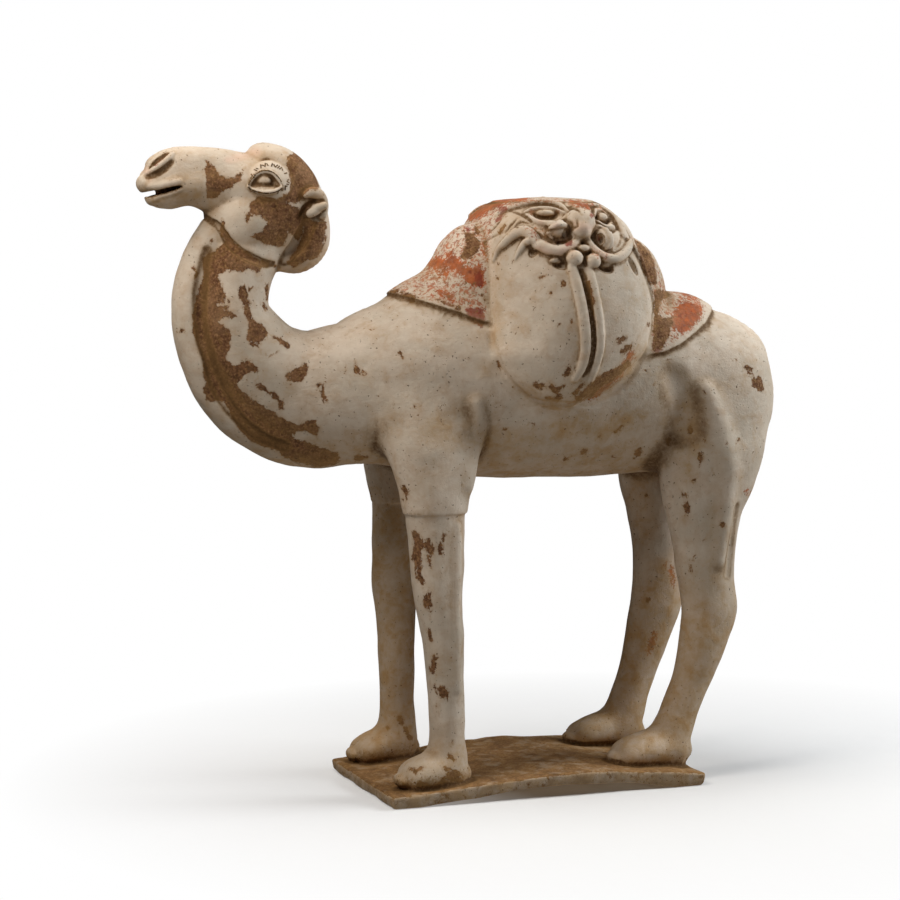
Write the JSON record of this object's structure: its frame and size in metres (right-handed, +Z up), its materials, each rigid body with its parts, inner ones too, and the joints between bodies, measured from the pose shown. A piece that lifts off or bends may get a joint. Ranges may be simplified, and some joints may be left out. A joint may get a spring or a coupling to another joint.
{
  "type": "terracotta camel figure",
  "caption": "Standing two-humped camel in painted terracotta, carrying saddlebags with a monster mask on each side, fired in one piece with its arched slab.",
  "frame": {"origin": "on the ground under the middle of the whole figure, slab included", "axes": "+Z up; the camel faces -X; its near side, the one that shows, faces -Y"},
  "size_m": [0.4288, 0.1624, 0.4119],
  "materials": {
    "terracotta": "matte, unglazed, worn white slip over brown clay"
  },
  "bodies": {
    "root": {"camel_figure": "terracotta"}
  },
  "joints": []
}
